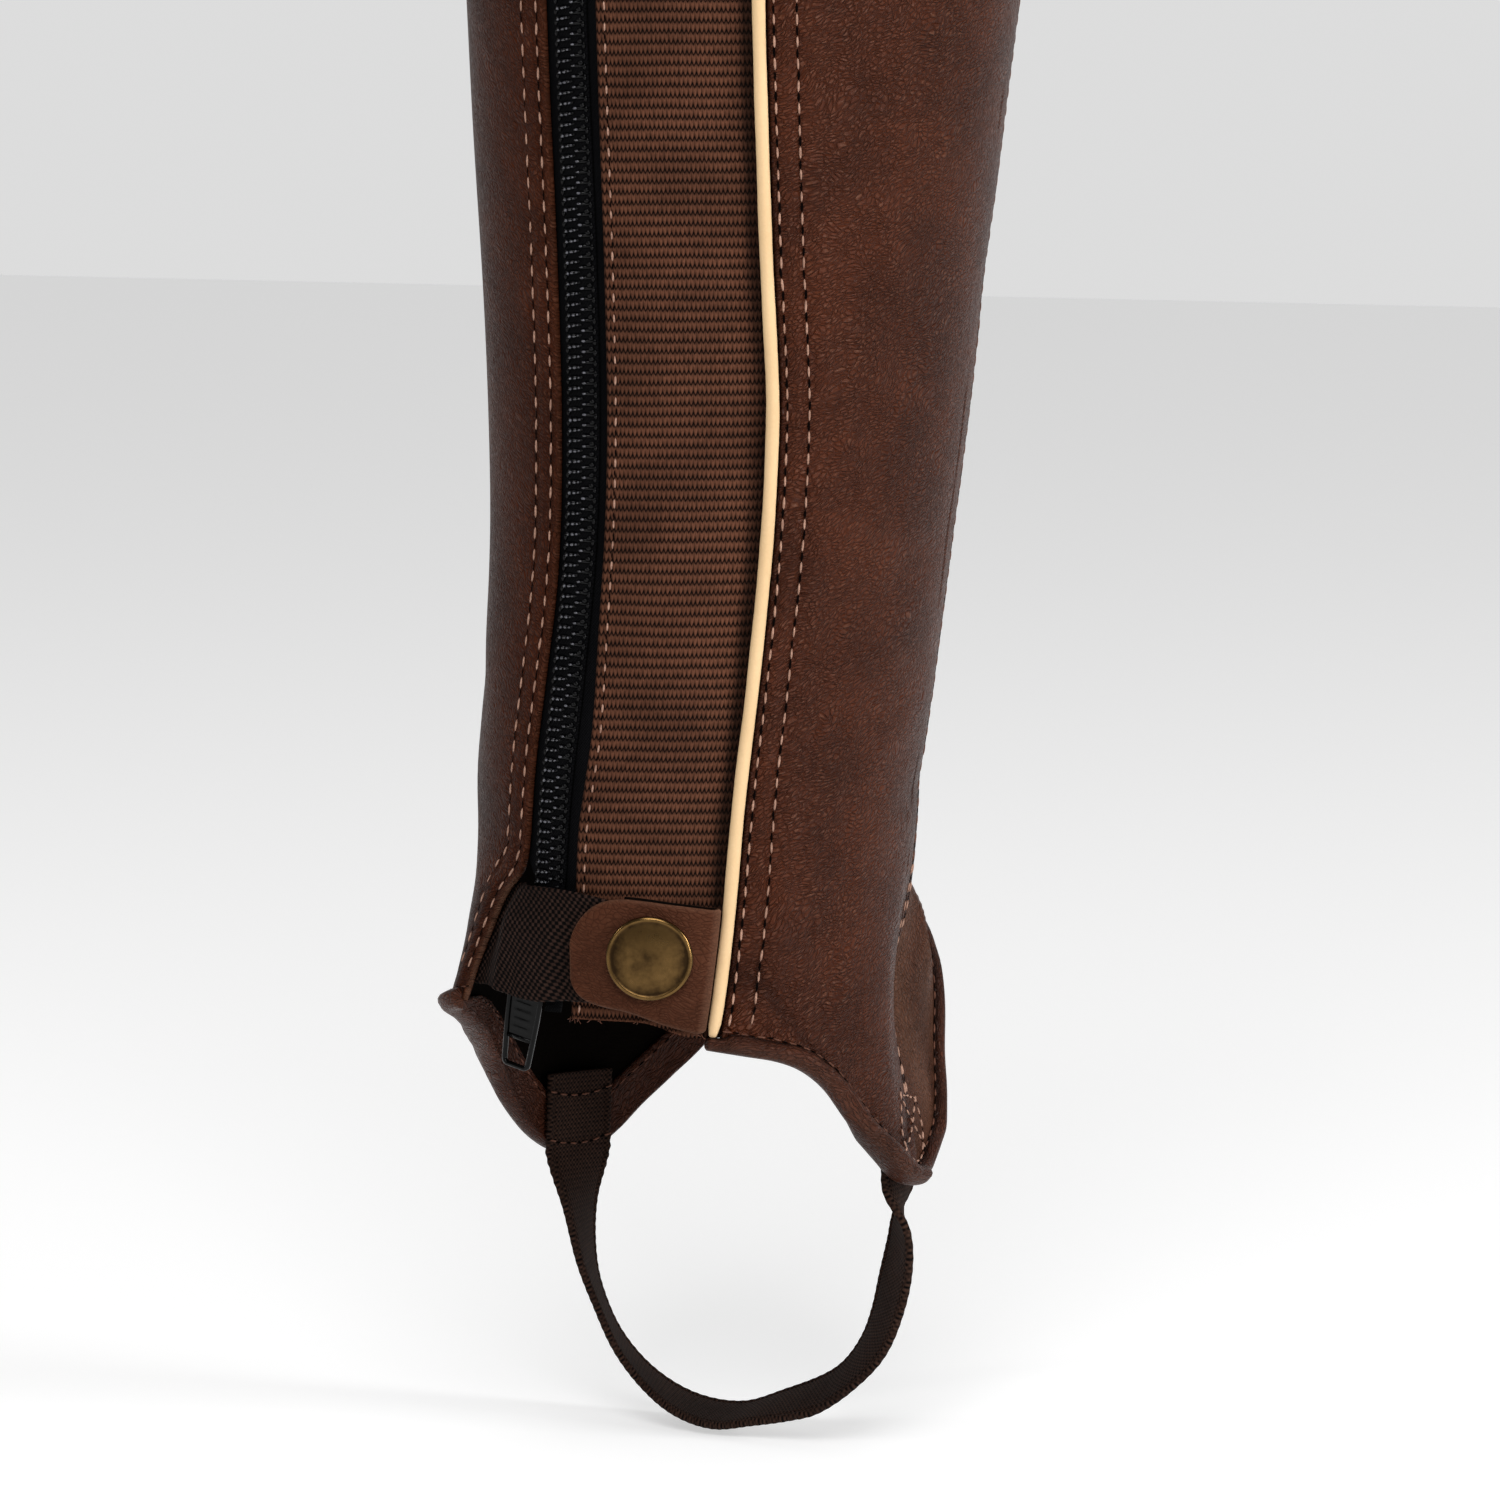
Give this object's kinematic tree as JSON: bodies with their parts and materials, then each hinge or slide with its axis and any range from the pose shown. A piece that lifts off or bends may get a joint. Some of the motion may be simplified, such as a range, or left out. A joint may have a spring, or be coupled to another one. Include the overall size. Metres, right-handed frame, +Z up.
{
  "type": "half chap",
  "caption": "Leather half chap for the right lower leg with a back zip, an elastic gusset, a press-stud closing band and an elastic under-foot strap.",
  "frame": {"origin": "middle of the leg at the calf's fullest ring, where the wearer's leg holds the chap", "axes": "+Z up the leg towards the knee, -Y to the shin and the toes, +Y to the zip at the back of the leg, -X to the outer side of a right leg"},
  "size_m": [0.113, 0.1185, 0.451],
  "materials": {
    "brown_leather": "smooth, semi-matt, oiled",
    "tab_leather": "smooth, semi-matt",
    "brown_elastic": "ribbed elastic, matt",
    "dark_elastic": "woven elastic, matt",
    "cream_leather": "smooth piping",
    "black_tape": "woven tape, matt",
    "black_plastic": "moulded coil and black enamel",
    "antique_brass": "antiqued, brushed"
  },
  "bodies": {
    "chap": {"outer_panel": "brown_leather", "inner_panel": "brown_leather", "hem": "brown_leather", "top_binding": "brown_leather", "snap_tab": "tab_leather", "gusset": "brown_elastic", "band": "dark_elastic", "strap": "dark_elastic", "piping": "cream_leather", "tape_inner": "black_tape", "tape_outer": "black_tape", "zip_chain": "black_plastic", "zip_slider": "black_plastic", "snap_cap": "antique_brass", "snap_post": "antique_brass"},
    "pull": {"pull_tab": "black_plastic"}
  },
  "joints": [
    {"name": "pull_tab_swing", "type": "hinge", "parent": "chap", "child": "pull", "pos_m": [0.01497, 0.0517, -0.273], "axis": [0.9811, -0.0639, 0.1825], "range_deg": [0, 8]}
  ]
}
